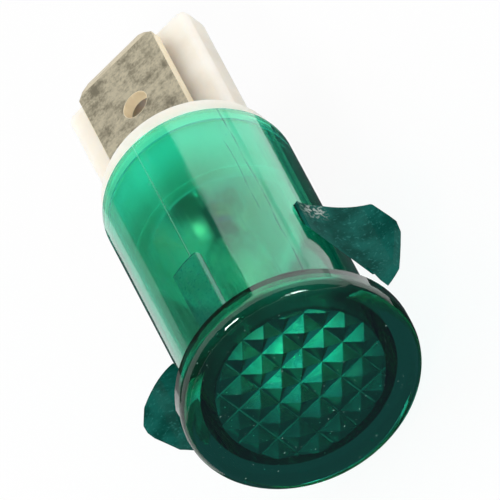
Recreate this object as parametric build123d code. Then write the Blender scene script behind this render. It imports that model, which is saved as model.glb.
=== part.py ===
from build123d import *
import math
import os

# Snap-in panel pilot light. Lengths are in millimetres.
# Origin: centre of the flange's back face, where the panel's front surface seats.
# -Y points out of the lens, +Y towards the terminals, +Z is up and X runs across the tabs.

# Flange and barrel of the lens moulding
flange_radius = 7.6
flange_thickness = 2.0
flange_front_round = 0.8
flange_rear_chamfer = 0.3
barrel_radius = 6.2
barrel_length = 19.4
barrel_wall = 0.85
barrel_mouth_chamfer = 0.15
counterbore_radius = 5.65
counterbore_depth = 0.9

# Facets moulded into the inner end face
end_face_thickness = 1.4
facet_pitch = 1.8
facet_depth = 0.55

# Snap wings, one on each side, swept off the barrel along an arc
wing_thickness = 0.6
wing_arc_radius = 4.07
wing_root_angle = 18.0
wing_root_lap_angle = 5.0
wing_reach = 3.6
wing_tip_drop = 1.05
wing_rear = 8.9
wing_front = 0.55
wing_root_front = 5.5
wing_corner_round = 0.45
panel_thickness_max = 2.05
wing_step_clearance = 0.05

# Outline of each wing beyond its step: share of the reach, share of the length from its front.
# The left wing's rear corner is cut back further than the right one's.
right_wing_outline_shares = (
    (0.385, 0.0),
    (0.66, 0.12),
    (0.98, 0.45),
    (1.0, 0.58),
    (0.82, 0.83),
    (0.16, 1.0),
)
left_wing_outline_shares = (
    (0.385, 0.0),
    (0.68, 0.12),
    (0.97, 0.4),
    (0.98, 0.5),
    (0.82, 0.66),
    (0.14, 1.0),
)

# Raised pad that ends the parting line beside the flange
pad_left = 1.75
pad_right = 0.55
pad_length = 7.0
pad_height = 0.18
pad_corner_round = 0.55

# Terminal base
bore_clearance = 0.1
shoulder_clearance = 0.05
rim_radius = 5.8
rim_thickness = 1.7
rim_chamfer = 0.3
cup_wall = 0.8
cup_floor = 1.6
cup_depth_into_barrel = 5.7
barrier_half_width = 5.05
barrier_thickness = 2.4
barrier_length = 11.5
barrier_side_round = 0.55
barrier_end_round = 0.35

# Blade tabs
tab_width = 6.3
tab_thickness = 0.8
tab_gap = 0.7
tab_length = 10.8
tab_corner_cut = 0.97
tab_bevel_length = 0.5
tab_bevel_depth = 0.22
tab_hole_radius = 0.93
tab_hole_from_tip = 5.2
tab_shoulder_depth = 0.8
tab_tail_width = 2.4
tab_tail_reach = 1.6
tab_slot_clearance = 0.05

# Lamp: glass envelope with two electrodes
lamp_radius = 2.0
lamp_length = 10.0
lamp_wall = 0.35
lamp_hollow_end_radius = 0.8
lamp_tip_radius = 0.4
lamp_tip_length = 0.6
lamp_shoulder_length = 0.75
pinch_length = 1.5
pinch_width = 3.0
pinch_thickness = 1.1
electrode_spacing = 1.1
electrode_radius = 0.25
electrode_length = 4.5
electrode_gap_to_pinch = 0.4
lamp_lead_radius = 0.15
seal_clearance = 0.01

# Wiring between the lamp and the tabs
resistor_radius = 0.9
resistor_waist_radius = 0.78
resistor_length = 3.2
resistor_rear_gap = 0.1
resistor_end_share = 0.28
resistor_lead_radius = 0.2
resistor_lead_depth = 0.3
splice_length = 1.8
lead_end_gap = 0.1
lead_bend_radius = 0.35
lead_slope_length = 0.7
tail_lap = 1.0
sleeve_outer_radius = 0.36
sleeve_inner_radius = 0.18
sleeve_length = 3.6
solder_film = 0.03
solder_radius = 0.5
solder_chamfer = 0.2
splice_solder_radius = 0.42
splice_solder_length = 1.1

# How far a cutting shape runs past the face that it cuts
overrun = 0.5

# Sizes that follow from the ones above
bore_radius = barrel_radius - barrel_wall
seat_outer_radius = flange_radius - flange_rear_chamfer
end_face_y = end_face_thickness - flange_thickness
cup_radius = bore_radius - bore_clearance
cup_inner_radius = cup_radius - cup_wall
cup_front_y = barrel_length - cup_depth_into_barrel
shoulder_radius = counterbore_radius - shoulder_clearance
shoulder_front_y = barrel_length - counterbore_depth
rim_rear_y = barrel_length + rim_thickness
cup_floor_y = rim_rear_y - cup_floor
barrier_end_y = rim_rear_y + barrier_length
tab_inner_z = barrier_thickness / 2 + tab_gap
tab_outer_z = tab_inner_z + tab_thickness
tab_tip_y = rim_rear_y + tab_length
tab_shoulder_y = rim_rear_y - tab_shoulder_depth
tab_tail_y = cup_floor_y - tab_tail_reach
tab_hole_y = tab_tip_y - tab_hole_from_tip
lead_end_y = cup_floor_y - lead_end_gap
lead_lap_y = lead_end_y - tail_lap
lead_slope_y = lead_lap_y - lead_slope_length
resistor_rear_y = lead_slope_y - resistor_rear_gap
resistor_front_y = resistor_rear_y - resistor_length
lamp_rear_y = resistor_front_y - splice_length
lamp_tip_y = lamp_rear_y - lamp_length
lamp_dome_y = lamp_tip_y + lamp_tip_length + lamp_radius
pinch_front_y = lamp_rear_y - pinch_length
electrode_z = electrode_spacing / 2
resistor_z = -electrode_z - lamp_lead_radius - solder_film - resistor_lead_radius


def station(y):
    """Plane across the axis at y: local x is X, local y is Z, and it faces the lens."""
    return Plane.XZ.offset(-y)


def disc(radius, rear, front):
    """Solid cylinder about the axis from its rear station to its front station."""
    return extrude(station(rear) * Circle(radius), amount=rear - front)


def block(width, rear, front, low, high):
    """Box centred on X, between two stations and two heights."""
    middle = Pos(0, (low + high) / 2) * Rectangle(width, high - low)
    return extrude(station(rear) * middle, amount=rear - front)


def front_edges(solid):
    return solid.edges().filter_by(GeomType.CIRCLE).group_by(Axis.Y)[0]


def rear_edges(solid):
    return solid.edges().filter_by(GeomType.CIRCLE).group_by(Axis.Y)[-1]


def half_turn(solid):
    """The same solid on the other side, turned half round about the axis."""
    return Rot(0, 180, 0) * solid


def wire_through(points, radius):
    """Round wire along a path in the plane X = 0, given as (y, z) points."""
    corners = [(0, y, z) for y, z in points]
    path = FilletPolyline(*corners, radius=lead_bend_radius)
    start = Plane(origin=path @ 0, z_dir=path % 0)
    return sweep(start * Circle(radius), path=path)


def flange_body():
    flange = disc(flange_radius, 0, -flange_thickness)
    flange = fillet(front_edges(flange), flange_front_round)
    return chamfer(rear_edges(flange), flange_rear_chamfer)


def barrel_body():
    barrel = disc(barrel_radius, barrel_length, -flange_thickness / 2)
    return chamfer(rear_edges(barrel), barrel_mouth_chamfer)


def ridged_sheet():
    """Row of ridges running along Z, whose crests point out of the lens."""
    cells = math.ceil(bore_radius / facet_pitch) + 1
    edge_x = cells * facet_pitch
    back_y = end_face_y + overrun
    outline = [(edge_x, back_y), (-edge_x, back_y)]
    for cell in range(-cells, cells):
        outline.append((cell * facet_pitch, end_face_y))
        outline.append(((cell + 1 / 2) * facet_pitch, end_face_y - facet_depth))
    outline.append((edge_x, end_face_y))
    face = make_face(Polyline(*outline, close=True))
    return extrude(Plane.XY * face, amount=bore_radius + overrun, both=True)


def core_pin():
    """The space that the mould's core leaves: bore, mouth and a faceted front end."""
    bore = disc(bore_radius, barrel_length + overrun, end_face_y)
    mouth = disc(counterbore_radius, barrel_length + overrun, shoulder_front_y)
    ridges = ridged_sheet()
    crossed = Rot(0, 90, 0) * ridges
    facets = ridges & crossed & disc(bore_radius, end_face_y + overrun, end_face_y - facet_depth)
    return bore + mouth + facets


def wing_section():
    """Curved strip across the axis, tangent to the barrel at its root."""
    root_angle = math.radians(wing_root_angle)
    root_x = barrel_radius * math.cos(root_angle)
    root_z = barrel_radius * math.sin(root_angle)
    tip_x = barrel_radius + wing_reach
    tip_z = -wing_tip_drop
    chord = math.hypot(tip_x - root_x, tip_z - root_z)
    rise = math.sqrt(wing_arc_radius**2 - (chord / 2) ** 2)
    centre_x = (root_x + tip_x) / 2 + rise * (root_z - tip_z) / chord
    centre_z = (root_z + tip_z) / 2 + rise * (tip_x - root_x) / chord
    begin = math.atan2(root_z - centre_z, root_x - centre_x) % (2 * math.pi)
    end = math.atan2(tip_z - centre_z, tip_x - centre_x) % (2 * math.pi)
    begin -= math.radians(wing_root_lap_angle)

    def on_arc(radius, angle):
        return (centre_x + radius * math.cos(angle), centre_z + radius * math.sin(angle))

    sides = []
    for radius in (wing_arc_radius - wing_thickness / 2, wing_arc_radius + wing_thickness / 2):
        sides.append([on_arc(radius, angle) for angle in (begin, (begin + end) / 2, end)])
    inner, outer = sides
    edges = [
        ThreePointArc(*inner),
        Line(inner[-1], outer[-1]),
        ThreePointArc(*outer),
        Line(outer[0], inner[0]),
    ]
    return make_face(edges)


def wing_outline(outline_shares):
    """Plan of a wing: a straight front edge, the step that takes the panel, and the free edges."""
    wing_length = wing_rear - wing_front
    free = [
        (barrel_radius + across * wing_reach, wing_front + along * wing_length)
        for across, along in outline_shares
    ]
    step_x = seat_outer_radius + wing_step_clearance
    edge_run = (wing_root_front - wing_front) / (free[0][0] - barrel_radius)
    edge_x = barrel_radius + (wing_root_front - panel_thickness_max) / edge_run
    inner_x = bore_radius + barrel_wall / 2
    inner_front = wing_root_front + (barrel_radius - inner_x) * edge_run
    corners = [
        (inner_x, inner_front),
        (edge_x, panel_thickness_max),
        (step_x, panel_thickness_max),
        *free,
        (inner_x, wing_rear),
    ]
    face = make_face(Polyline(*corners, close=True))
    outer = face.vertices().sort_by(Axis.X)[-3:]
    return fillet(outer, wing_corner_round)


def snap_wing(outline_shares):
    """Wing on the right side: its curved section cut to its plan."""
    blade = extrude(station(wing_rear) * wing_section(), amount=wing_rear - wing_front)
    plan = extrude(Plane.XY * wing_outline(outline_shares), amount=barrel_radius, both=True)
    return blade & plan


def spark_pad():
    """Low pad that follows the barrel, ending at the flange."""
    plan = Polyline(
        (-pad_left, -overrun),
        (pad_right, -overrun),
        (pad_right, pad_length),
        (-pad_left, pad_length),
        close=True,
    )
    face = make_face(plan)
    corner = face.vertices().group_by(Axis.Y)[-1].sort_by(Axis.X)[-1]
    face = fillet(corner, pad_corner_round)
    column = extrude(Plane.XY.offset(bore_radius) * face, amount=barrel_radius)
    return column & disc(barrel_radius + pad_height, pad_length + overrun, -overrun)


def lens_barrel():
    """Lens, flange, barrel, wings and pad, moulded together."""
    body = flange_body() + barrel_body() + spark_pad()
    body += snap_wing(right_wing_outline_shares)
    body += half_turn(snap_wing(left_wing_outline_shares))
    return body - core_pin()


def barrier_plate():
    """Flat insulating plate between the tabs, with rounded sides and end."""
    half = barrier_thickness / 2
    plate = block(2 * barrier_half_width, barrier_end_y, rim_rear_y - rim_chamfer, -half, half)
    plate = fillet(plate.edges().filter_by(Axis.Y), barrier_side_round)
    end_face = plate.faces().sort_by(Axis.Y)[-1]
    return fillet(end_face.edges(), barrier_end_round)


def tab_slot():
    """Slot for the upper tab: wide at the back for its shoulders, narrow for its tail."""
    low = tab_inner_z - tab_slot_clearance
    high = tab_outer_z + tab_slot_clearance
    wide = block(tab_width + 2 * tab_slot_clearance, rim_rear_y + overrun, tab_shoulder_y, low, high)
    narrow = block(tab_tail_width + 2 * tab_slot_clearance, rim_rear_y, tab_tail_y, low, high)
    return wide + narrow


def terminal_base():
    """Cup, shoulder, rim and barrier plate, moulded together."""
    rim = chamfer(rear_edges(disc(rim_radius, rim_rear_y, barrel_length)), rim_chamfer)
    shoulder = disc(shoulder_radius, barrel_length, shoulder_front_y)
    cup = disc(cup_radius, barrel_length, cup_front_y)
    body = rim + shoulder + cup + barrier_plate()
    body -= disc(cup_inner_radius, cup_floor_y, cup_front_y - overrun)
    slot = tab_slot()
    return body - slot - half_turn(slot)


def tab_terminal():
    """Upper tab: stamped plan, bevelled at the tip on both faces, with a hole."""
    half = tab_width / 2
    tail = tab_tail_width / 2
    plan = Polyline(
        (half - tab_corner_cut, tab_tip_y),
        (half, tab_tip_y - tab_corner_cut),
        (half, tab_shoulder_y),
        (tail, tab_shoulder_y),
        (tail, tab_tail_y),
        (-tail, tab_tail_y),
        (-tail, tab_shoulder_y),
        (-half, tab_shoulder_y),
        (-half, tab_tip_y - tab_corner_cut),
        (-half + tab_corner_cut, tab_tip_y),
        close=True,
    )
    blank = extrude(Plane.XY.offset(tab_inner_z) * make_face(plan), amount=tab_thickness)
    side = Polyline(
        (tab_tail_y, tab_inner_z),
        (tab_tip_y - tab_bevel_length, tab_inner_z),
        (tab_tip_y, tab_inner_z + tab_bevel_depth),
        (tab_tip_y, tab_outer_z - tab_bevel_depth),
        (tab_tip_y - tab_bevel_length, tab_outer_z),
        (tab_tail_y, tab_outer_z),
        close=True,
    )
    bevelled = extrude(Plane.YZ.offset(-half) * make_face(side), amount=tab_width)
    hole_place = Pos(0, tab_hole_y, (tab_inner_z + tab_outer_z) / 2)
    hole = hole_place * Cylinder(tab_hole_radius, tab_thickness + overrun)
    return (blank & bevelled) - hole


def lamp_lead_points(side):
    """Path of a lamp wire behind its electrode, as (y, z) points."""
    start = pinch_front_y - electrode_gap_to_pinch
    if side < 0:
        return [(start, -electrode_z), (resistor_front_y - lead_end_gap, -electrode_z)]
    rest_z = tab_inner_z - solder_film - lamp_lead_radius
    return [
        (start, electrode_z),
        (lead_slope_y, electrode_z),
        (lead_lap_y, rest_z),
        (lead_end_y, rest_z),
    ]


def straight_wire(points, radius):
    (y_front, z), (y_rear, _) = points
    return extrude(station(y_rear) * (Pos(0, z) * Circle(radius)), amount=y_rear - y_front)


def lamp_lead(side):
    points = lamp_lead_points(side)
    if len(points) == 2:
        return straight_wire(points, lamp_lead_radius)
    return wire_through(points, lamp_lead_radius)


def lamp_electrode(side):
    """Electrode rod inside the glass, with the wire that carries it out."""
    rear = pinch_front_y - electrode_gap_to_pinch
    front = rear - electrode_length
    rod = straight_wire([(front, side * electrode_z), (rear, 0)], electrode_radius)
    return rod + lamp_lead(side)


def glass_bulb():
    """Outside of the glass, from the pinch to the dome at the front."""
    tube = disc(lamp_radius, pinch_front_y, lamp_dome_y)
    return tube + Pos(0, lamp_dome_y, 0) * Sphere(lamp_radius)


def glass_hollow():
    """Space inside the glass, which narrows to a blunt end behind the thick sealed tip."""
    hollow_radius = lamp_radius - lamp_wall
    end_y = lamp_dome_y - math.sqrt(hollow_radius**2 - lamp_hollow_end_radius**2)
    profile = Polyline(
        (0, pinch_front_y),
        (hollow_radius, pinch_front_y),
        (hollow_radius, lamp_dome_y),
        (lamp_hollow_end_radius, end_y),
        (0, end_y),
        close=True,
    )
    return revolve(make_face(profile), Axis.Y)


def glass_tip():
    """Point on the dome where the glass was sealed."""
    join_y = lamp_tip_y + lamp_tip_length + lamp_wall / 2
    profile = Polyline(
        (0, lamp_tip_y),
        (lamp_tip_radius / 2, lamp_tip_y),
        (lamp_tip_radius, join_y),
        (0, join_y),
        close=True,
    )
    return revolve(make_face(profile), Axis.Y)


def glass_shoulder():
    """Solid end behind the hollow, tapered off towards the pinch."""
    shoulder = disc(lamp_radius, pinch_front_y + lamp_shoulder_length, pinch_front_y)
    return chamfer(rear_edges(shoulder), lamp_wall)


def lamp_envelope():
    """Glass bulb with a sealed tip, pressed flat round its wires at the back."""
    glass = glass_bulb() + glass_tip() + glass_shoulder()
    glass -= glass_hollow()
    pinch = station(lamp_rear_y) * Rectangle(pinch_thickness, pinch_width)
    glass += extrude(pinch, amount=pinch_length)
    for side in (1, -1):
        wire_hole = Pos(0, side * electrode_z) * Circle(lamp_lead_radius + seal_clearance)
        glass -= extrude(station(lamp_rear_y + overrun) * wire_hole, amount=pinch_length + 2 * overrun)
    return glass


def resistor_profile():
    """Dog-bone body: full at both ends, with a slight waist."""
    end = resistor_length * resistor_end_share
    return [
        (0, resistor_front_y),
        (resistor_waist_radius, resistor_front_y),
        (resistor_radius, resistor_front_y + end / 2),
        (resistor_waist_radius, resistor_front_y + end),
        (resistor_waist_radius, resistor_rear_y - end),
        (resistor_radius, resistor_rear_y - end / 2),
        (resistor_waist_radius, resistor_rear_y),
        (0, resistor_rear_y),
    ]


def resistor_body():
    body = revolve(make_face(Polyline(*resistor_profile(), close=True)), Axis.Y)
    socket_radius = resistor_lead_radius + seal_clearance
    body -= disc(socket_radius, resistor_front_y + resistor_lead_depth, resistor_front_y - overrun)
    body -= disc(socket_radius, resistor_rear_y + overrun, resistor_rear_y - resistor_lead_depth)
    return Pos(0, 0, resistor_z) * body


def resistor_lead_front():
    front = lamp_rear_y + lead_end_gap
    rear = resistor_front_y + resistor_lead_depth
    return straight_wire([(front, resistor_z), (rear, 0)], resistor_lead_radius)


def resistor_lead_rear():
    rest_z = -(tab_inner_z - solder_film - resistor_lead_radius)
    points = [
        (resistor_rear_y - resistor_lead_depth, resistor_z),
        (lead_slope_y, resistor_z),
        (lead_lap_y, rest_z),
        (lead_end_y, rest_z),
    ]
    return wire_through(points, resistor_lead_radius)


def lead_sleeve():
    front = lamp_rear_y + lead_end_gap
    tube = disc(sleeve_outer_radius, front + sleeve_length, front)
    tube -= disc(sleeve_inner_radius, front + sleeve_length + overrun, front - overrun)
    return Pos(0, 0, electrode_z) * tube


def solder_bead(radius, rear, front):
    bead = disc(radius, rear, front)
    return chamfer(bead.edges().filter_by(GeomType.CIRCLE), solder_chamfer)


def solder_splice():
    """Solder that joins the lamp wire and the resistor wire side by side."""
    middle_y = (lamp_rear_y + resistor_front_y) / 2
    middle_z = (resistor_z - electrode_z) / 2
    rear = middle_y + splice_solder_length / 2
    bead = solder_bead(splice_solder_radius, rear, rear - splice_solder_length)
    return Pos(0, 0, middle_z) * bead - lamp_lead(-1) - resistor_lead_front()


def solder_on_tail(side, wire, wire_radius):
    """Bead of solder on a tail's inner face, round the straight end of its wire."""
    rest_z = side * (tab_inner_z - solder_film - wire_radius)
    drop = Pos(0, 0, rest_z) * solder_bead(solder_radius, lead_end_y, lead_lap_y + lead_bend_radius)
    room = block(tab_tail_width, cup_floor_y, tab_tail_y, 0, tab_inner_z)
    if side < 0:
        room = half_turn(room)
    return (drop & room) - wire


os.makedirs("parts", exist_ok=True)
upper_wire = lamp_electrode(1)
lower_wire = resistor_lead_rear()
pieces = {
    "lens_barrel": lens_barrel(),
    "terminal_base": terminal_base(),
    "tab_terminal_upper": tab_terminal(),
    "tab_terminal_lower": half_turn(tab_terminal()),
    "lamp_envelope": lamp_envelope(),
    "lamp_electrode_upper": upper_wire,
    "lamp_electrode_lower": lamp_electrode(-1),
    "lead_sleeve": lead_sleeve(),
    "resistor_body": resistor_body(),
    "resistor_lead_front": resistor_lead_front(),
    "resistor_lead_rear": lower_wire,
    "solder_splice": solder_splice(),
    "solder_upper": solder_on_tail(1, upper_wire, lamp_lead_radius),
    "solder_lower": solder_on_tail(-1, lower_wire, resistor_lead_radius),
}
for name, piece in pieces.items():
    export_step(piece, "parts/" + name + ".step")
    print(name, round(piece.volume, 3))
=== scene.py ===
# %% [markdown]
# # Panel pilot light
# A small lamp that snaps into a round hole in a panel. Its lens, flange and barrel are one
# moulding of clear green plastic. A white base plugs the back and carries two flat tabs.
# Between them sit a glass lamp, a resistor and the wires that join them to the tabs.
# The CAD model gives every shape at its real size, so this script only adds finishes,
# light and a camera. Blender works in metres, and the part is about 35 millimetres long.

# %% Load the part
import math

import bpy
from mathutils import Matrix, Vector


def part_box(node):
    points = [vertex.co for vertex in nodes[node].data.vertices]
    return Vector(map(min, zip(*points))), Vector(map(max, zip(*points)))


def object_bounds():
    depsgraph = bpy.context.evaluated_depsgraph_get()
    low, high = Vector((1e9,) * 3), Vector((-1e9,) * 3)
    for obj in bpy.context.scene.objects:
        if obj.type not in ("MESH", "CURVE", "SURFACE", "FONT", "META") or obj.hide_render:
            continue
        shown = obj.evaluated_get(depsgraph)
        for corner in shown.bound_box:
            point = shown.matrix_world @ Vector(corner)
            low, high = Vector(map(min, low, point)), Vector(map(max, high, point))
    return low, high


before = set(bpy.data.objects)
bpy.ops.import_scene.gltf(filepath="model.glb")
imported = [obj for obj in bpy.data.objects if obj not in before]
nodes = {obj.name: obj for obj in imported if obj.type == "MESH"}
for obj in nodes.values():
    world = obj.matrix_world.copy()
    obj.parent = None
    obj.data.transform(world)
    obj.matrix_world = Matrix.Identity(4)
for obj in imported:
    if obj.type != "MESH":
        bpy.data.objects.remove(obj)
cad_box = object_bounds()
MM = 0.001
print("nodes", len(nodes), "box in mm", [round(v / MM, 2) for corner in cad_box for v in corner])

# %% [markdown]
# ## Sums on sockets
# A finish is a graph of nodes, and most of them do plain sums. Written one node at a time a
# sum is hard to read, so one small class holds a socket and lets Python's own signs add the
# Math nodes. A colour can't go through a Math node, because that turns it grey, so
# colours and vectors have their own methods on the finish.


# %% A socket that can be added and multiplied
class Signal:
    """The output of a node inside one finish, for use in sums."""

    def __init__(self, finish, socket):
        self.finish = finish
        self.socket = socket

    def other(self, name):
        """Another output of the same node."""
        return Signal(self.finish, self.socket.node.outputs[name])

    def math(self, operation, *others):
        return self.finish.node("ShaderNodeMath", {"operation": operation}, dict(enumerate((self, *others))))

    def __add__(self, other):
        return self.math("ADD", other)

    def __radd__(self, other):
        return self.math("ADD", other)

    def __sub__(self, other):
        return self.math("SUBTRACT", other)

    def __rsub__(self, other):
        return self.finish.node("ShaderNodeMath", {"operation": "SUBTRACT"}, {0: other, 1: self})

    def __mul__(self, other):
        return self.math("MULTIPLY", other)

    def __rmul__(self, other):
        return self.math("MULTIPLY", other)

    def __pow__(self, other):
        return self.math("POWER", other)

    def __abs__(self):
        return self.math("ABSOLUTE")

    def larger(self, other):
        return self.math("MAXIMUM", other)

    def rise(self, start, end):
        """0 before start and 1 after end, with a smooth slope between them."""
        settings = {"interpolation_type": "SMOOTHSTEP", "clamp": True}
        sockets = {"Value": self, "From Min": start, "From Max": end}
        return self.finish.node("ShaderNodeMapRange", settings, sockets)

    def near(self, centre, half_width, softness):
        """1 within half_width of centre and 0 outside, with edges of that softness."""
        return 1 - abs(self - centre).rise(half_width, half_width + softness)


# %% [markdown]
# ## One finish
# A finish belongs to a material, or to the world behind the part. One method makes any node:
# it takes the node's type, then its settings, then what goes into its sockets. The others
# are short names for things that every finish here needs: where a point is on the part,
# soft noise, a mix of two colours, a bump and the main shader.


# %% A finish
class Finish:
    """A material, or the world, that is built up node by node."""

    def __init__(self, name, world=False):
        self.owner = (bpy.data.worlds if world else bpy.data.materials).new(name)
        self.owner.use_nodes = True
        self.tree = self.owner.node_tree
        self.tree.nodes.clear()
        self.output = self.tree.nodes.new("ShaderNodeOutputWorld" if world else "ShaderNodeOutputMaterial")

    def node(self, kind, settings=None, sockets=None, out=0):
        """Any node: its settings are set first, then its sockets, and one output comes back."""
        made = self.tree.nodes.new(kind)
        for name, value in (settings or {}).items():
            setattr(made, name, value)
        for name, value in (sockets or {}).items():
            if isinstance(value, Signal):
                self.tree.links.new(value.socket, made.inputs[name])
            else:
                made.inputs[name].default_value = value
        return Signal(self, made.outputs[out])

    def place(self):
        """Where a point of the surface is in the part's own frame, in metres."""
        return self.node("ShaderNodeTexCoord", out="Object")

    def axes(self):
        """The three coordinates of a point, in millimetres."""
        scaled = self.node("ShaderNodeVectorMath", {"operation": "SCALE"}, {0: self.place(), "Scale": 1 / MM})
        x = self.node("ShaderNodeSeparateXYZ", None, {0: scaled}, out="X")
        return x, x.other("Y"), x.other("Z")

    def grain(self, size_mm, detail=3.0, stretch=(1, 1, 1)):
        """Soft noise whose blobs are about size_mm across, from 0 to 1."""
        spread = tuple(1 / (size_mm * MM * share) for share in stretch)
        at = self.node("ShaderNodeVectorMath", {"operation": "MULTIPLY"}, {0: self.place(), 1: spread})
        return self.node("ShaderNodeTexNoise", None, {"Vector": at, "Scale": 1.0, "Detail": detail})

    def blend(self, factor, first, second):
        """A colour that goes from the first to the second as the factor goes from 0 to 1."""
        made = self.node("ShaderNodeMix", {"data_type": "RGBA"}, None, out=2).socket.node
        for name, value in (("Factor_Float", factor), ("A_Color", first), ("B_Color", second)):
            socket = next(s for s in made.inputs if s.identifier == name)
            if isinstance(value, Signal):
                self.tree.links.new(value.socket, socket)
            else:
                socket.default_value = (*value, 1) if isinstance(value, tuple) else value
        return Signal(self, made.outputs[2])

    def bump(self, height, depth_mm):
        """A normal that makes height, from 0 to 1, look depth_mm deep."""
        return self.node("ShaderNodeBump", None, {"Height": height, "Distance": depth_mm * MM})

    def surface(self, **sockets):
        """The Principled shader, with socket names written with underscores for spaces."""
        named = {name.replace("_", " "): value for name, value in sockets.items()}
        return self.node("ShaderNodeBsdfPrincipled", None, named)

    def mix(self, factor, first, second):
        """Two shaders, the first where the factor is 0 and the second where it is 1."""
        return self.node("ShaderNodeMixShader", None, {0: factor, 1: first, 2: second})

    def show(self, surface, volume=None):
        self.tree.links.new(surface.socket, self.output.inputs["Surface"])
        if volume is not None:
            self.tree.links.new(volume.socket, self.output.inputs["Volume"])
        return self.owner


# %% [markdown]
# ## Putting a finish on
# The CAD nodes come in with a plain material each. Their shapes are right, so they stay as
# they are, and only the material in their slot is changed.


# %% Coat the named parts
def coat(material, *names):
    """Put a material on the named nodes, in place of the one that they came with."""
    for name in names:
        mesh = nodes[name].data
        mesh.materials.clear()
        mesh.materials.append(material)
    print(material.name, "on", ", ".join(names))


# %% [markdown]
# ## The camera
# The photograph was taken from the front, above and a little to the right, with the camera
# rolled so that the part lies aslant in the picture. The lens is very long and the camera
# stands far off, because the near and far ends of the part look the same size. The
# camera's two directions are written in the part's own frame. The scale and the pixel
# where the part's own origin falls then say how far off and how far aside it stands.

# %% Camera
PHOTO_SIDE = 500
PIXELS_PER_MM = 16.67
ORIGIN_PIXEL = (294.3, 371.0)
CAMERA_RIGHT = Vector((0.698, -0.291, -0.654))
CAMERA_BACK = Vector((0.220, -0.778, 0.589)).normalized()
LENS_MM = 1600

camera_up = CAMERA_BACK.cross(CAMERA_RIGHT).normalized()
camera_right = camera_up.cross(CAMERA_BACK)
camera_data = bpy.data.cameras.new("camera")
camera_data.lens = LENS_MM
camera = bpy.data.objects.new("camera", camera_data)
bpy.context.scene.collection.objects.link(camera)
distance = LENS_MM * PHOTO_SIDE / (camera_data.sensor_width * PIXELS_PER_MM) * MM
across = (PHOTO_SIDE / 2 - ORIGIN_PIXEL[0]) / PIXELS_PER_MM * MM
upward = (ORIGIN_PIXEL[1] - PHOTO_SIDE / 2) / PIXELS_PER_MM * MM
aim = camera_right * across + camera_up * upward
turn = Matrix((camera_right, camera_up, CAMERA_BACK)).transposed()
camera.matrix_world = Matrix.Translation(aim + CAMERA_BACK * distance) @ turn.to_4x4()
bpy.context.scene.camera = camera
print("camera", round(distance, 2), "m from the part, aimed", round(aim.length / MM, 1), "mm off its origin")

# %% [markdown]
# ## Clear green plastic
# The lens, flange and barrel are one moulding of tinted clear plastic. Its colour comes from
# the thickness that light passes through: the thin wall is bright green, and the thick
# flange is almost black. Painting the surface green would give one flat colour, so the
# surface stays clear, and a volume inside it absorbs red most, then blue, then green.
#
# The moulding is one node with one material, so each of its areas is a mask, made from
# where a point is: how far it is from the barrel's axis, and how far along it. The
# flange's back face is at 0 along the axis, and the barrel runs back from it.

# %% Where each part of the moulding is
green = Finish("clear_green_plastic")
x, y, z = green.axes()
radius = (x**2 + z**2) ** 0.5
BARREL_RADIUS = 6.2
BORE_RADIUS = 5.35
INSIDE_WALL = 5.9
FACETS_BACK = -0.6
FACETS_FRONT = -1.3
behind_flange = y.rise(0.05, 0.25)
on_bore = (1 - radius.rise(INSIDE_WALL - 0.1, INSIDE_WALL)) * y.rise(-0.4, 0.1)
beyond_barrel = radius.rise(BARREL_RADIUS + 0.05, BARREL_RADIUS + 0.15)
on_wing = beyond_barrel * (1 - z.rise(4.0, 4.5)) * behind_flange
above_barrel = radius.rise(BARREL_RADIUS + 0.07, BARREL_RADIUS + 0.13)
below_pad_top = 1 - radius.rise(BARREL_RADIUS + 0.22, BARREL_RADIUS + 0.3)
on_pad = above_barrel * below_pad_top * z.rise(5, 5.5) * behind_flange
# painted highlight along the pad's right edge
pad_edge_highlight = on_pad * x.rise(0.25, 0.4)
facet_layer = (1 - y.rise(FACETS_BACK, FACETS_BACK + 0.1)) * y.rise(FACETS_FRONT - 0.1, FACETS_FRONT)
on_facets = facet_layer * (1 - radius.rise(BORE_RADIUS + 0.05, BORE_RADIUS + 0.15))
print("masks for the bore, the wings, the pad and the facets")

# %% [markdown]
# ## Marks of the mould
# The barrel isn't perfect. A parting line runs along it where the two halves of the mould
# met, thin dark flow lines lie to the right of it, and the skin is slightly wavy, with fine
# streaks along the barrel. Each line is a mask again: the angle round the barrel places it,
# with 0 degrees at the top, and soft noise bends it or breaks it up.

# %% Marks on the barrel
angle = x.math("ARCTAN2", z) * (180 / math.pi)
outside = radius.rise(BARREL_RADIUS - 0.15, BARREL_RADIUS - 0.05) * y.rise(0, 0.1)
PARTING_ANGLE = -1.0
PAD_END = 6.8
parting_line = angle.near(PARTING_ANGLE, 0.25, 0.35) * outside * y.rise(PAD_END, PAD_END + 0.2)
LONG_LINE_ANGLE = 53.0
SHORT_LINE_ANGLE = 47.0
wander = green.grain(5.0, detail=1.0, stretch=(0.3, 1, 0.3)) - 0.5
long_line = angle.near(LONG_LINE_ANGLE + wander * 4, 0.3, 0.4)
short_line = angle.near(SHORT_LINE_ANGLE + wander * 6, 0.15, 0.4) * y.near(12, 3, 1)
broken_up = green.grain(3.0, stretch=(0.4, 1, 0.4)).rise(0.3, 0.5)
flow_lines = long_line.larger(short_line) * outside * broken_up
waves = green.grain(2.6, detail=1.0, stretch=(0.5, 2.5, 0.5))
streaks = green.grain(0.7, detail=4.0, stretch=(0.35, 8, 0.35)).rise(0.45, 0.75) * outside
print("parting line at", PARTING_ANGLE, "degrees, flow lines at", SHORT_LINE_ANGLE, "and", LONG_LINE_ANGLE)
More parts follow.
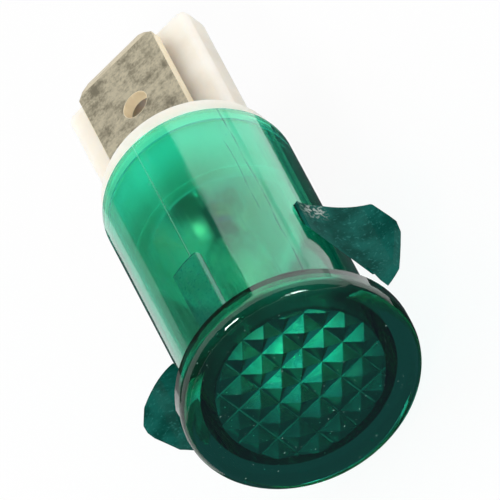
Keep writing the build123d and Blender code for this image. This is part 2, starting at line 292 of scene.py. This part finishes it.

# %% [markdown]
# ## The diamond facets
# The lens has small pyramids moulded on its inner face, so that the lamp's light spreads.
# Where two of them meet, a thin pale line is painted on the edge as a highlight, broken up
# in places by noise. Painted shade darkens the facets towards the rim, away from a point a
# little above the middle, and darkens those that face right. The side that a facet faces
# comes from its normal, which Blender turns over when a ray meets it from inside the
# plastic, so it is turned back first.

# %% Ridges and painted facet shade
FACET_PITCH = 1.8
from_column = abs((x * (1 / FACET_PITCH) + 0.5).math("FRACT") - 0.5)
from_row = abs((z * (1 / FACET_PITCH) + 0.5).math("FRACT") - 0.5)
ridge_lines = (1 - from_column.rise(0.01, 0.045)).larger(1 - from_row.rise(0.01, 0.045))
highlight_gaps = green.grain(1.5, detail=2.0).rise(0.35, 0.65)
inside_rim = 1 - radius.rise(BORE_RADIUS - 0.15, BORE_RADIUS - 0.05)
# painted highlight: a pale line along the ridges between facets, broken up by noise
ridge_highlight = ridge_lines * on_facets * inside_rim * highlight_gaps
facing = green.node("ShaderNodeTexCoord", out="Normal")
lean = green.node("ShaderNodeSeparateXYZ", None, {0: facing}, out="X")
from_inside = green.node("ShaderNodeNewGeometry", out="Backfacing")
lean = lean * (1 - from_inside * 2)
# painted shade: facets that face right, and facets towards the rim, are darkened
right_facet_shade = on_facets * lean.rise(0.3, 0.45) * 0.65
CLEAREST = (1.3, 1.7)
from_clearest = ((x - CLEAREST[0]) ** 2 + (z - CLEAREST[1]) ** 2) ** 0.5
outer_facet_shade = on_facets * from_clearest.rise(1.4, 5.4) * 0.92
painted_facet_shade = right_facet_shade.larger(outer_facet_shade)
print("facets", FACET_PITCH, "mm apart, clearest at", CLEAREST)

# %% [markdown]
# ## The clear skin
# The skin is smooth, with a slight yellow-green tint of its own that warms the thin wall,
# and a yellower one on the facets. The bore is duller than the outside, because the
# mould's core isn't polished as well, so what is inside looks soft. The waves are a bump
# of a hundredth of a millimetre: enough to bend a reflection, too little to see as a dent.

# %% Clear plastic
PLASTIC_INDEX = 1.58
skin_tint = green.blend(on_facets, (0.85, 0.98, 0.66), (0.92, 0.99, 0.56))
clear = green.surface(
    Base_Color=green.blend(flow_lines, skin_tint, (0.2, 0.35, 0.3)),
    Roughness=0.02 + on_bore * 0.12 + on_facets * 0.06 + streaks * 0.2 + parting_line * 0.3,
    IOR=PLASTIC_INDEX,
    Transmission_Weight=1.0,
    Normal=green.bump(waves + parting_line * 0.8 + streaks * 0.1, 0.012),
)
print("refractive index", PLASTIC_INDEX)

# %% [markdown]
# ## The grained skin
# The wings and the raised pad have the rough grain that a spark-cut mould leaves. The wings
# are so rough that they look nearly solid: dark green with lighter clouds and fine specks,
# and a pale patch of painted glints where the right one leaves the barrel. A matt surface
# with a bump does for them, and the same finish covers the pad more thinly.

# %% Grained plastic
speck = green.grain(0.22, detail=2.0).rise(0.56, 0.72)
cloudy = green.grain(1.6, detail=3.0).rise(0.35, 0.65)
root_glint_grain = green.grain(0.22, detail=3.0).rise(0.46, 0.62)
WING_ROOT = (6.5, 8.2)
# painted glints: a pale speckled patch where the right wing leaves the barrel
painted_root_glints = x.near(WING_ROOT[0], 0.15, 0.3) * y.near(WING_ROOT[1], 0.4, 0.6) * root_glint_grain
spark = green.grain(0.16, detail=2.0)
wing_colour = green.blend(cloudy, (0.003, 0.05, 0.04), (0.008, 0.095, 0.078))
wing_colour = green.blend(speck * 0.25, wing_colour, (0.05, 0.28, 0.25))
wing_colour = green.blend(painted_root_glints, wing_colour, (0.36, 0.41, 0.38))
grainy = green.surface(
    Base_Color=wing_colour,
    Roughness=0.5,
    IOR=1.2,
    Specular_IOR_Level=0.0,
    Normal=green.bump(spark, 0.03),
)
grained = (on_wing * 0.95).larger(on_pad * (0.35 + speck * 0.3))
# the pale patch at the wing root is painted glints
print("scuffed wing root at x", WING_ROOT[0], "and y", WING_ROOT[1], "mm")

# %% [markdown]
# ## The whole moulding
# The skins are laid over each other: clear, a trace of milk in the bore, painted shade on
# the facets, the pale lines with a few specks of dust, and the grain. The pale lines are the
# parting line and painted highlights on the ridges and the pad's edge. Light that has to
# bend through a clear surface reaches what lies behind it only by luck, which a renderer
# shows as noise.
# So the rays that look for light go straight through the surface. The volume still tints
# them, and its density sets how deep the green is for each millimetre.

# %% Green plastic
milky = green.node("ShaderNodeBsdfDiffuse", None, {"Color": (0.03, 0.50, 0.34, 1)})
painted_shade_bsdf = green.node("ShaderNodeBsdfDiffuse", None, {"Color": (0.004, 0.035, 0.032, 1)})
pale_mark_and_highlight = green.node("ShaderNodeBsdfDiffuse", None, {"Color": (0.5, 0.8, 0.7, 1)})
dust = green.grain(0.13, detail=0.0).rise(0.85, 0.89)
# the real parting line and dust, with painted highlights on the ridges and the pad's edge
pale = parting_line * 0.05 + ridge_highlight * 0.12 + pad_edge_highlight * 0.3 + dust * 0.5
moulded = green.mix(on_bore * 0.03, clear, milky)
# painted shade: the dark matt shader darkens the facets
moulded = green.mix(painted_facet_shade, moulded, painted_shade_bsdf)
moulded = green.mix(pale, moulded, pale_mark_and_highlight)
moulded = green.mix(grained, moulded, grainy)
straight = green.node("ShaderNodeBsdfTransparent")
ray = green.node("ShaderNodeLightPath", out="Is Shadow Ray")
body = green.mix(ray.larger(ray.other("Is Diffuse Ray")), moulded, straight)
PASSED_COLOUR = (0.10, 0.92, 0.895, 1)
PASSED_DENSITY = 2000
tint = green.node("ShaderNodeVolumeAbsorption", None, {"Color": PASSED_COLOUR, "Density": PASSED_DENSITY})
coat(green.show(body, tint), "lens_barrel")

# %% [markdown]
# ## White nylon base
# The base is moulded in natural nylon, a warm white that lets some light into it. That
# matters here: the thin cup inside the barrel glows instead of looking like a dark
# hole. Subsurface scattering does this. A faint mottle and a fine skin texture keep the
# flat faces of the barrier from looking like paper.
#
# The front of the cup is darkened with painted shade, most of all on the left, and a
# painted dark spot lies on its floor. The painted shade is a guess for the dark shape that
# shows through the green. A small spot below it glows as a painted glint, for the light that
# the lamp's round glass gathers there.

# %% Painted shade and glint in the cup
nylon = Finish("natural_nylon")
x, y, z = nylon.axes()
CUP_MOUTH = 13.7
CUP_FLOOR = 19.5
CUP_INNER = 4.45


def on_floor(centre, inner, outer):
    """A round spot on the cup's floor that fades out between two radii."""
    from_centre = ((x - centre[0]) ** 2 + (z - centre[1]) ** 2) ** 0.5
    return (1 - from_centre.rise(inner, outer)) * y.near(CUP_FLOOR, 0.1, 0.1)


# painted dark spot on the cup's floor
painted_dark_spot = on_floor((-1.4, -0.5), 0.9, 1.9)
# painted glint: a small spot on the cup's floor that glows
painted_glint = on_floor((-2.2, -2.5), 0.2, 0.75)
around = x.math("ARCTAN2", z) * (180 / math.pi)
inner_wall = 1 - ((x**2 + z**2) ** 0.5).rise(CUP_INNER + 0.05, CUP_INNER + 0.25)
# painted shade: the cup's inside darkens towards its mouth, most on the left
painted_mouth_shade = 1 - y.rise(CUP_MOUTH - 0.5, CUP_FLOOR - 1.5)
painted_mouth_shade = painted_mouth_shade * (1 - around.rise(25, 60) * 0.55) * (1 - inner_wall * 0.3)
painted_cup_shade = (painted_mouth_shade * 0.85).larger(painted_dark_spot * 1.15)
print("cup from", CUP_MOUTH, "to", CUP_FLOOR, "mm behind the flange")

# %% Nylon
mottle = nylon.grain(2.2, detail=4.0)
skin = nylon.grain(0.35, detail=2.0)
fresh = nylon.blend(mottle.rise(0.3, 0.7), (0.80, 0.74, 0.65), (0.85, 0.80, 0.72))
coat(
    nylon.show(
        nylon.surface(
            # painted shade: the cup's front and a spot on its floor are darkened
            Base_Color=nylon.blend(painted_cup_shade, fresh, (0.26, 0.23, 0.16)),
            Roughness=0.38 + mottle * 0.2,
            Subsurface_Weight=1.0,
            Subsurface_Radius=(1.0, 0.85, 0.7),
            Subsurface_Scale=2.5 * MM,
            # painted glint: the spot on the cup's floor glows
            Emission_Color=nylon.blend(painted_glint, (0.0, 0.0, 0.0), (0.8, 1.0, 0.6)),
            Emission_Strength=1.0,
            Normal=nylon.bump(skin, 0.006),
        )
    ),
    "terminal_base",
)

# %% [markdown]
# ## Dulled tin on brass
# The tabs are stamped from tinned brass. The tin has gone dull and blotchy, grey-brown with
# paler grains, and it is thinner on the cut edges, in the hole and on the bevelled tip,
# where a warmer, cleaner metal shows. Three sizes of noise make the blotches, so that no
# one size repeats. Where the tin is darkest the oxide hides the metal, so it shines less.
# The hole gets a very faint glow, which stands for the light that bounces between its wall
# and the white nylon behind it.

# %% Where the tin is thin
tin = Finish("dulled_tin")
x, y, z = tin.axes()
tab_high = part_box("tab_terminal_upper")[1]
tab_tip = tab_high.y / MM
HOLE_FROM_TIP = 5.2
HOLE_RADIUS = 0.93
from_hole = (x**2 + (y - (tab_tip - HOLE_FROM_TIP)) ** 2) ** 0.5
cut_edge = abs(x).rise(tab_high.x / MM - 0.04, tab_high.x / MM - 0.01)
in_hole = 1 - from_hole.rise(HOLE_RADIUS + 0.01, HOLE_RADIUS + 0.05)
bevel = y.rise(tab_tip - 0.75, tab_tip - 0.65)
clean = cut_edge.larger(in_hole).larger(bevel * 0.7)
print("tab tip at", round(tab_tip, 2), "mm")

# %% Tin
blotch = tin.grain(1.3, detail=5.0) * 0.5 + tin.grain(0.45, detail=4.0) * 0.3
blotch = blotch + tin.grain(0.16, detail=3.0) * 0.2
oxide = blotch.rise(0.36, 0.62)
dull = tin.blend(oxide, (0.17, 0.15, 0.10), (0.68, 0.615, 0.45))
coat(
    tin.show(
        tin.surface(
            Base_Color=tin.blend(clean, dull, (0.88, 0.78, 0.58)),
            Emission_Color=tin.blend(in_hole, (0.0, 0.0, 0.0), (0.11, 0.085, 0.05)),
            Emission_Strength=1.0,
            Roughness=0.62 - oxide * 0.17 - clean * 0.1,
            Metallic=0.25 + oxide * 0.3,
            Normal=tin.bump(blotch, 0.03),
        )
    ),
    "tab_terminal_upper",
    "tab_terminal_lower",
)

# %% [markdown]
# ## The lamp and its wiring
# Inside the barrel is a small glass lamp with two nickel rods. Its wires run to a resistor
# and to the tabs through drops of solder, and one wire has an insulating sleeve. All of it
# is seen only dimly through the green, but it would be missed if the base were pulled out.
# Half of the light goes straight through the glass, so that its bending doesn't hide the
# rods, and faint smears of roughness stand for the film on an old lamp.

# %% Glass
glass = Finish("lamp_glass")
ray = glass.node("ShaderNodeLightPath", out="Is Shadow Ray")
clear_glass = glass.surface(
    Base_Color=(1.0, 1.0, 1.0, 1),
    Roughness=0.02 + glass.grain(1.5).rise(0.5, 0.8) * 0.05,
    IOR=1.5,
    Transmission_Weight=1.0,
)
straight = glass.node("ShaderNodeBsdfTransparent")
STRAIGHT_SHARE = 0.5
through = ray.larger(ray.other("Is Diffuse Ray")).larger(STRAIGHT_SHARE)
coat(glass.show(glass.mix(through, clear_glass, straight)), "lamp_envelope")

# %% [markdown]
# ## Wires and solder
# The rods and wires are drawn metal, so their fine scratches run along them, which noise
# stretched in one direction gives. Solder is smoother and greyer, and slightly uneven.

# %% Wires
drawn = Finish("drawn_wire")
scratch = drawn.grain(0.06, detail=2.0, stretch=(1, 12, 1))
coat(
    drawn.show(
        drawn.surface(
            Base_Color=drawn.blend(scratch, (0.50, 0.48, 0.44), (0.78, 0.75, 0.70)),
            Roughness=0.25 + scratch * 0.2,
            Metallic=1.0,
        )
    ),
    "lamp_electrode_upper",
    "lamp_electrode_lower",
    "resistor_lead_front",
    "resistor_lead_rear",
)

# %% Solder
solder = Finish("solder")
cloud = solder.grain(0.3, detail=3.0)
coat(
    solder.show(
        solder.surface(
            Base_Color=solder.blend(cloud, (0.50, 0.50, 0.50), (0.72, 0.72, 0.72)),
            Roughness=0.2 + cloud * 0.2,
            Metallic=1.0,
            Normal=solder.bump(cloud, 0.01),
        )
    ),
    "solder_splice",
    "solder_upper",
    "solder_lower",
)

# %% [markdown]
# ## Resistor and sleeve
# The resistor is dipped in dark brown lacquer and has coloured rings, which give its value.
# Each ring is a mask along the body, laid over the colour before it. The sleeve is woven
# from black glass fibre, so a wave pattern stands for its strands.

# %% Resistor
lacquer = Finish("resistor_lacquer")
y = lacquer.axes()[1]
body_low, body_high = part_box("resistor_body")
RING_COLOURS = ((0.45, 0.05, 0.03), (0.35, 0.05, 0.4), (0.8, 0.6, 0.05), (0.55, 0.38, 0.12))
ring_pitch = (body_high.y - body_low.y) / MM / (len(RING_COLOURS) + 1)
print("rings", round(ring_pitch, 2), "mm apart")
colour = (0.11, 0.065, 0.04)
for number, ring_colour in enumerate(RING_COLOURS, start=1):
    ring = y.near(body_low.y / MM + ring_pitch * number, ring_pitch * 0.22, 0.03)
    colour = lacquer.blend(ring, colour, ring_colour)
dip = lacquer.grain(0.8)
coat(
    lacquer.show(
        lacquer.surface(
            Base_Color=colour,
            Roughness=0.25 + dip * 0.2,
            Normal=lacquer.bump(dip, 0.02),
        )
    ),
    "resistor_body",
)

# %% Sleeve
sleeving = Finish("glass_fibre_sleeve")
STRAND_MM = 0.5
strands = {"Vector": sleeving.place(), "Scale": 1 / (STRAND_MM * MM), "Distortion": 2.0}
weave = sleeving.node("ShaderNodeTexWave", None, strands)
coat(
    sleeving.show(
        sleeving.surface(
            Base_Color=sleeving.blend(weave, (0.03, 0.03, 0.03), (0.08, 0.08, 0.075)),
            Roughness=0.7,
            Normal=sleeving.bump(weave, 0.02),
        )
    ),
    "lead_sleeve",
)

# %% [markdown]
# ## Studio sheets
# Clear, glossy plastic shows mostly what stands round it. A photographer places white and
# dark cards round glass to draw its edges, and so does this scene. A sheet is a flat
# rectangle that belongs to the studio and not to the part. A card is a sheet that glows
# evenly. Neither the camera nor the soft light sees it, so it only shows as a reflection
# or through the plastic.


# %% A sheet and a card
def sheet(name, centre, facing, width, height, material, up):
    """A flat rectangle, centred there, that faces a direction."""
    mesh = bpy.data.meshes.new(name)
    signs = ((-1, -1), (1, -1), (1, 1), (-1, 1))
    corners = [(width / 2 * across, height / 2 * upward, 0) for across, upward in signs]
    mesh.from_pydata(corners, [], [range(len(corners))])
    mesh.materials.append(material)
    made = bpy.data.objects.new(name, mesh)
    bpy.context.scene.collection.objects.link(made)
    back = Vector(facing).normalized()
    side = Vector(up).cross(back).normalized()
    turn = Matrix((side, back.cross(side), back)).transposed()
    made.matrix_world = Matrix.Translation(Vector(centre)) @ turn.to_4x4()
    print(name, "is", round(width, 3), "by", round(height, 3), "m")
    return made


def card(name, colour, centre, facing, width, height, up=(0, 0, 1)):
    """A glowing sheet that shows only in reflections and through clear surfaces."""
    finish = Finish(name)
    glow = finish.node("ShaderNodeEmission", None, {"Color": (*colour, 1), "Strength": 1.0})
    made = sheet(name, centre, facing, width, height, finish.show(glow), up)
    made.visible_camera = False
    made.visible_diffuse = False
    made.visible_shadow = False


# %% [markdown]
# ## Floor
# The floor is pale and matt, and glows white to the camera and in reflections, so the
# background is clean. A tenth of what is seen stays matt, which keeps the part's shadow.
# It lies just below the part's box, so that nothing cuts into it.

# %% Floor
FLOOR_GAP = 0.1 * MM
FLOOR_SIDE = 3
SEEN_WHITE = 0.9
FLAT = {"facing": (0, 0, 1), "up": (0, 1, 0)}
floor_z = cad_box[0].z - FLOOR_GAP
pale_floor = Finish("pale_floor")
ray = pale_floor.node("ShaderNodeLightPath", out="Is Camera Ray")
seen = ray.larger(ray.other("Is Glossy Ray")).larger(ray.other("Is Transmission Ray"))
matt = pale_floor.node("ShaderNodeBsdfDiffuse", None, {"Color": (0.8, 0.8, 0.8, 1)})
white = pale_floor.node("ShaderNodeEmission", None, {"Strength": 1.0})
floor_finish = pale_floor.show(pale_floor.mix(seen * SEEN_WHITE, matt, white))
sheet("floor", (0, 0, floor_z), width=FLOOR_SIDE, height=FLOOR_SIDE, material=floor_finish, **FLAT)

# %% [markdown]
# ## Cards that lie on the floor
# A dark card under the part is a painted shadow: it stands for the part's own shadow on the
# floor, and darkens the flange and the edges of the barrel from below. A blue-grey one before
# it gives the front of the flange its bluish tone. A white card to the right brightens what
# is seen through the right side of the barrel. All three lie in
# the gap between the floor and the part.

# %% Floor cards
card_z = floor_z + FLOOR_GAP / 2
# painted shadow: the part's own shadow on the floor, seen in and through the plastic
card("painted_shadow_card", (0.045, 0.05, 0.06), (0, 0.0215, card_z), width=0.032, height=0.048, **FLAT)
card("front_card", (0.10, 0.16, 0.22), (0, -0.1025, card_z), width=0.4, height=0.2, **FLAT)
card("floor_white", (1.7, 1.7, 1.7), (0.066, 0.08, card_z), width=0.1, height=0.16, **FLAT)

# %% [markdown]
# ## Cards that stand
# A large dark flag in front keeps the flange's round edge dark, as it is in the photograph.
# Another dark flag behind, to the left, stops at a straight edge, and a white card stands
# to its right. The barrel reflects both, and the edge between them shows as the line along
# the barrel where the white veil begins. A small grey card stands low on the left.

# %% Standing cards
BACKWARD = (0, 1, 0)
FORWARD = (0, -1, 0)
card("front_flag", (0.06, 0.07, 0.08), (0, -0.8, 0.5), BACKWARD, 4, 3)
card("back_flag", (0.09, 0.09, 0.09), (-0.36, 0.5, 0.35), FORWARD, 1.0, 1.2)
card("back_white", (1.6, 1.6, 1.6), (0.74, 0.5, 0.6), FORWARD, 1.2, 1.2)
card("left_white", (0.45, 0.45, 0.45), (-0.045, 0.06, 0.0007), (0.61, -0.785, 0), 0.04, 0.0166)

# %% [markdown]
# ## The world
# Most of the light is soft and comes from all round, as in a light tent. The world gives
# it. To the camera and in reflections the world is plain white, a little brighter than the
# light that it gives, and that keeps the background clean.

# %% World
SOFT_LIGHT = 0.77
sky = Finish("studio", world=True)
ray = sky.node("ShaderNodeLightPath", out="Is Camera Ray")
seen = ray.larger(ray.other("Is Glossy Ray")).larger(ray.other("Is Transmission Ray"))
soft = sky.node("ShaderNodeBackground", None, {"Color": (1, 1, 1, 1), "Strength": SOFT_LIGHT})
white = sky.node("ShaderNodeBackground", None, {"Color": (1, 1, 1, 1), "Strength": 1.0})
bpy.context.scene.world = sky.show(sky.mix(seen, soft, white))
print("soft light", SOFT_LIGHT)

# %% [markdown]
# ## Lamps
# A large window lamp above, on the left, brightens the base, and isn't seen in reflections.
# Two small lamps in front put bright spots on the flange's round edge. A lamp is described
# by how bright its face is, because that is what a reflection of it shows, and its power
# follows from that and its size. Every lamp points at the middle of the flange's back face.


# %% Lamps
def lamp(name, centre, side, radiance, glossy=True):
    """A square area lamp whose face is that bright, where 1 is white."""
    data = bpy.data.lights.new(name, "AREA")
    data.size = side
    data.energy = radiance * math.pi * side**2
    light = bpy.data.objects.new(name, data)
    bpy.context.scene.collection.objects.link(light)
    turn = Vector(centre).to_track_quat("Z", "Y").to_matrix().to_4x4()
    light.matrix_world = Matrix.Translation(Vector(centre)) @ turn
    light.visible_glossy = glossy
    print(name, round(data.energy, 3), "W")


lamp("window", (-0.2, 0.2, 0.42), 0.5, 1.25, glossy=False)
lamp("front_left", (-0.073, -0.48, 0.356), 0.09, 40)
lamp("front_right", (0.25, -0.527, 0.125), 0.1, 28)
bpy.context.scene.view_settings.view_transform = "Standard"
